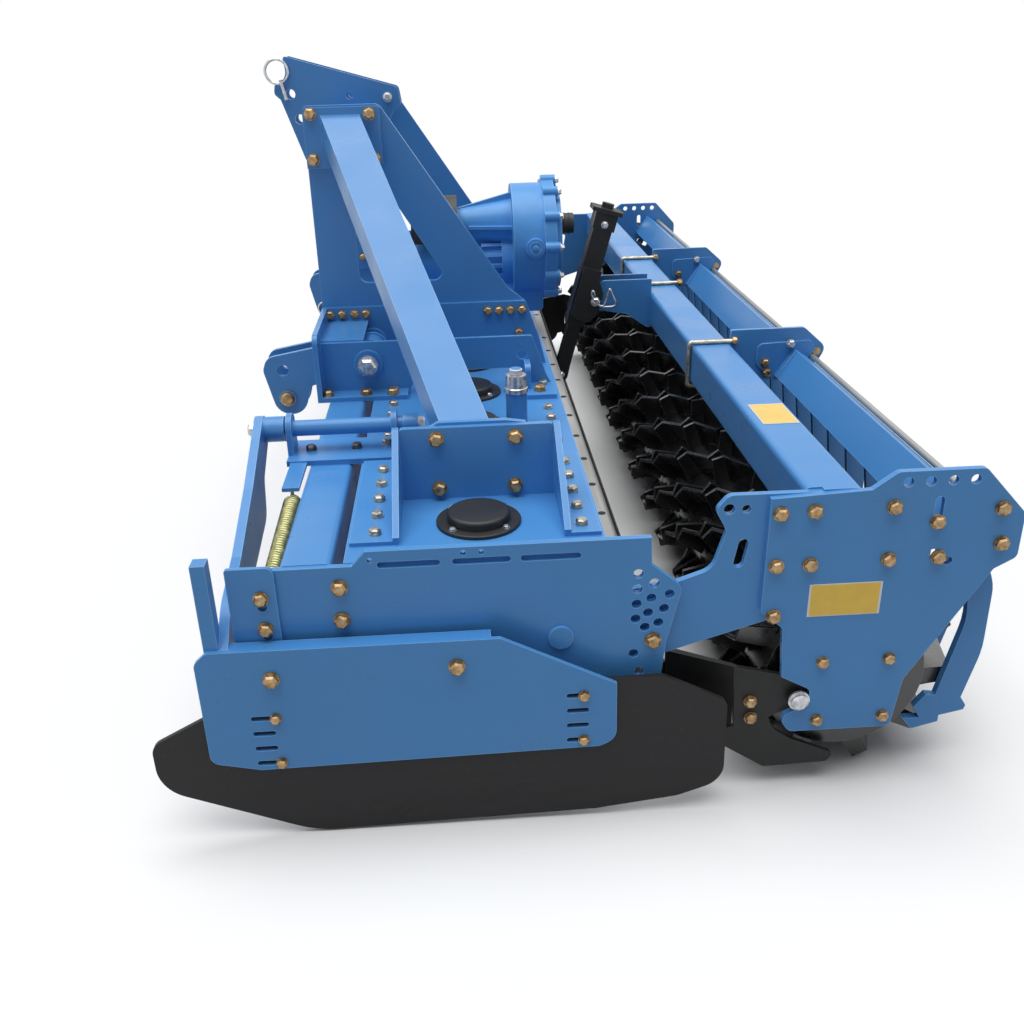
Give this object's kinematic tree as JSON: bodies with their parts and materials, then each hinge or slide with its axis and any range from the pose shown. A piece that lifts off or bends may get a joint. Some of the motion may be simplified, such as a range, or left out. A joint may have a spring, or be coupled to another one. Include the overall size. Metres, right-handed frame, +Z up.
{
  "type": "power harrow",
  "caption": "Mounted power harrow: blue gear trough with a row of vertical knife rotors, three-point tower, side boards and a black toothed packer roller.",
  "frame": {"origin": "middle of the footprint on the floor under the machine", "axes": "+X to the rear, towards the roller; +Y to the machine's right, along the trough; +Z up"},
  "size_m": [1.549, 3.1686, 1.3068],
  "materials": {
    "blue_paint": "semi-gloss mid-blue machine enamel",
    "blue_cast": "blue enamel over sand-cast iron",
    "black_paint": "satin black enamel",
    "roller_black": "black enamel on welded steel teeth",
    "rolled_steel": "dull grey steel strip",
    "black_plastic": "matt moulded black",
    "spring_wire": "olive-yellow passivated wire",
    "bare_shaft": "machined steel"
  },
  "bodies": {
    "main_frame": {"gear_trough": "blue_paint", "trough_cover": "blue_paint", "rotor_caps": "black_plastic", "rear_guard_strip": "rolled_steel", "front_beam": "blue_paint", "top_link_head": "blue_paint", "gearbox_housing": "blue_cast", "gearbox_cover": "blue_cast", "rear_shaft_cover": "black_plastic", "pto_guard": "black_plastic", "oil_filler": "blue_paint", "end_stops": "blue_paint", "end_plate_left": "blue_paint", "end_plate_right": "blue_paint", "headstock_left": "blue_paint", "headstock_right": "blue_paint", "tower_leg_left": "blue_paint", "tower_leg_right": "blue_paint", "brace_left": "blue_paint", "brace_right": "blue_paint", "brace_foot_left": "blue_paint", "brace_foot_right": "blue_paint", "board_pivot_left": "blue_paint", "board_pivot_right": "blue_paint", "side_spring_left": "spring_wire", "side_spring_right": "spring_wire"},
    "roller_frame": {"roller_beam": "blue_paint", "scraper_bar": "blue_paint", "scrapers": "blue_paint", "scraper_brackets": "blue_paint", "levelling_bar": "black_paint", "roller_plate_left": "blue_paint", "roller_plate_right": "blue_paint", "roller_arm_left": "blue_paint", "roller_arm_right": "blue_paint", "levelling_arm_left": "black_paint", "levelling_arm_right": "black_paint"},
    "roller": {"packer_roller": "roller_black"},
    "jack_tube": {"jack_tube": "black_paint"},
    "jack_screw": {"jack_screw": "black_paint"},
    "input_shaft": {"pto_shaft": "bare_shaft"},
    "link_arm_left": {"link_arm_left": "blue_paint"},
    "side_board_left": {"side_board_left": "blue_paint", "side_blade_left": "black_paint"},
    "link_arm_right": {"link_arm_right": "blue_paint"},
    "side_board_right": {"side_board_right": "blue_paint", "side_blade_right": "black_paint"},
    "rotor_01": {"rotor_01": "black_paint"},
    "rotor_02": {"rotor_02": "black_paint"},
    "rotor_03": {"rotor_03": "black_paint"},
    "rotor_04": {"rotor_04": "black_paint"},
    "rotor_05": {"rotor_05": "black_paint"},
    "rotor_06": {"rotor_06": "black_paint"},
    "rotor_07": {"rotor_07": "black_paint"},
    "rotor_08": {"rotor_08": "black_paint"},
    "rotor_09": {"rotor_09": "black_paint"},
    "rotor_10": {"rotor_10": "black_paint"},
    "rotor_11": {"rotor_11": "black_paint"},
    "rotor_12": {"rotor_12": "black_paint"}
  },
  "joints": [
    {"name": "roller_lift", "type": "hinge", "parent": "main_frame", "child": "roller_frame", "pos_m": [-0.0375, 0, 0.376], "axis": [0, -1, 0], "range_deg": [-6, 5]},
    {"name": "roller_spin", "type": "hinge", "parent": "roller_frame", "child": "roller", "pos_m": [0.5075, 0, 0.225], "axis": [0, 1, 0], "continuous": true},
    {"name": "jack_swing", "type": "hinge", "parent": "roller_frame", "child": "jack_tube", "pos_m": [0.21824, 0, 0.6176], "axis": [0, -1, 0], "range_deg": [-1.21, 1.02]},
    {"name": "jack_travel", "type": "slide", "parent": "jack_tube", "child": "jack_screw", "axis": [-0.2756, 0, -0.9613], "range_m": [-0.01487, 0.01242]},
    {"name": "link_arm_left_swing", "type": "hinge", "parent": "main_frame", "child": "link_arm_left", "pos_m": [-0.4185, -0.495, 0.619], "axis": [0, 1, 0], "range_deg": [0, 8]},
    {"name": "side_board_left_swing", "type": "hinge", "parent": "main_frame", "child": "side_board_left", "pos_m": [-0.6305, -1, 0.6], "axis": [-1, 0, 0], "range_deg": [0, 40], "deforming": ["side_spring_left"]},
    {"name": "link_arm_right_swing", "type": "hinge", "parent": "main_frame", "child": "link_arm_right", "pos_m": [-0.4185, 0.495, 0.619], "axis": [0, 1, 0], "range_deg": [0, 8]},
    {"name": "side_board_right_swing", "type": "hinge", "parent": "main_frame", "child": "side_board_right", "pos_m": [-0.6305, 1, 0.6], "axis": [1, 0, 0], "range_deg": [0, 40], "deforming": ["side_spring_right"]},
    {"name": "rotor_01_spin", "type": "hinge", "parent": "main_frame", "child": "rotor_01", "pos_m": [-0.1725, -1.375, 0.3], "axis": [0, 0, 1], "continuous": true},
    {"name": "rotor_02_spin", "type": "hinge", "parent": "main_frame", "child": "rotor_02", "pos_m": [-0.1725, -1.125, 0.3], "axis": [0, 0, 1], "continuous": true},
    {"name": "rotor_03_spin", "type": "hinge", "parent": "main_frame", "child": "rotor_03", "pos_m": [-0.1725, -0.875, 0.3], "axis": [0, 0, 1], "continuous": true},
    {"name": "rotor_04_spin", "type": "hinge", "parent": "main_frame", "child": "rotor_04", "pos_m": [-0.1725, -0.625, 0.3], "axis": [0, 0, 1], "continuous": true},
    {"name": "rotor_05_spin", "type": "hinge", "parent": "main_frame", "child": "rotor_05", "pos_m": [-0.1725, -0.375, 0.3], "axis": [0, 0, 1], "continuous": true},
    {"name": "rotor_06_spin", "type": "hinge", "parent": "main_frame", "child": "rotor_06", "pos_m": [-0.1725, -0.125, 0.3], "axis": [0, 0, 1], "continuous": true},
    {"name": "rotor_07_spin", "type": "hinge", "parent": "main_frame", "child": "rotor_07", "pos_m": [-0.1725, 0.125, 0.3], "axis": [0, 0, 1], "continuous": true},
    {"name": "rotor_08_spin", "type": "hinge", "parent": "main_frame", "child": "rotor_08", "pos_m": [-0.1725, 0.375, 0.3], "axis": [0, 0, 1], "continuous": true},
    {"name": "rotor_09_spin", "type": "hinge", "parent": "main_frame", "child": "rotor_09", "pos_m": [-0.1725, 0.625, 0.3], "axis": [0, 0, 1], "continuous": true},
    {"name": "rotor_10_spin", "type": "hinge", "parent": "main_frame", "child": "rotor_10", "pos_m": [-0.1725, 0.875, 0.3], "axis": [0, 0, 1], "continuous": true},
    {"name": "rotor_11_spin", "type": "hinge", "parent": "main_frame", "child": "rotor_11", "pos_m": [-0.1725, 1.125, 0.3], "axis": [0, 0, 1], "continuous": true},
    {"name": "rotor_12_spin", "type": "hinge", "parent": "main_frame", "child": "rotor_12", "pos_m": [-0.1725, 1.375, 0.3], "axis": [0, 0, 1], "continuous": true},
    {"name": "input_shaft_spin", "type": "hinge", "parent": "main_frame", "child": "input_shaft", "pos_m": [-0.2685, 0, 0.845], "axis": [1, 0, 0], "continuous": true}
  ],
  "couplings": [
    {"joint": "rotor_02_spin", "follows": "rotor_01_spin", "ratio": -1},
    {"joint": "rotor_03_spin", "follows": "rotor_01_spin", "ratio": 1},
    {"joint": "rotor_04_spin", "follows": "rotor_01_spin", "ratio": -1},
    {"joint": "rotor_05_spin", "follows": "rotor_01_spin", "ratio": 1},
    {"joint": "rotor_06_spin", "follows": "rotor_01_spin", "ratio": -1},
    {"joint": "rotor_07_spin", "follows": "rotor_01_spin", "ratio": 1},
    {"joint": "rotor_08_spin", "follows": "rotor_01_spin", "ratio": -1},
    {"joint": "rotor_09_spin", "follows": "rotor_01_spin", "ratio": 1},
    {"joint": "rotor_10_spin", "follows": "rotor_01_spin", "ratio": -1},
    {"joint": "rotor_11_spin", "follows": "rotor_01_spin", "ratio": 1},
    {"joint": "rotor_12_spin", "follows": "rotor_01_spin", "ratio": -1},
    {"joint": "input_shaft_spin", "follows": "rotor_01_spin", "ratio": 3},
    {"joint": "jack_swing", "follows": "roller_lift", "ratio": 0.19348},
    {"joint": "jack_travel", "follows": "roller_lift", "m_per_rad": 0.14005}
  ]
}
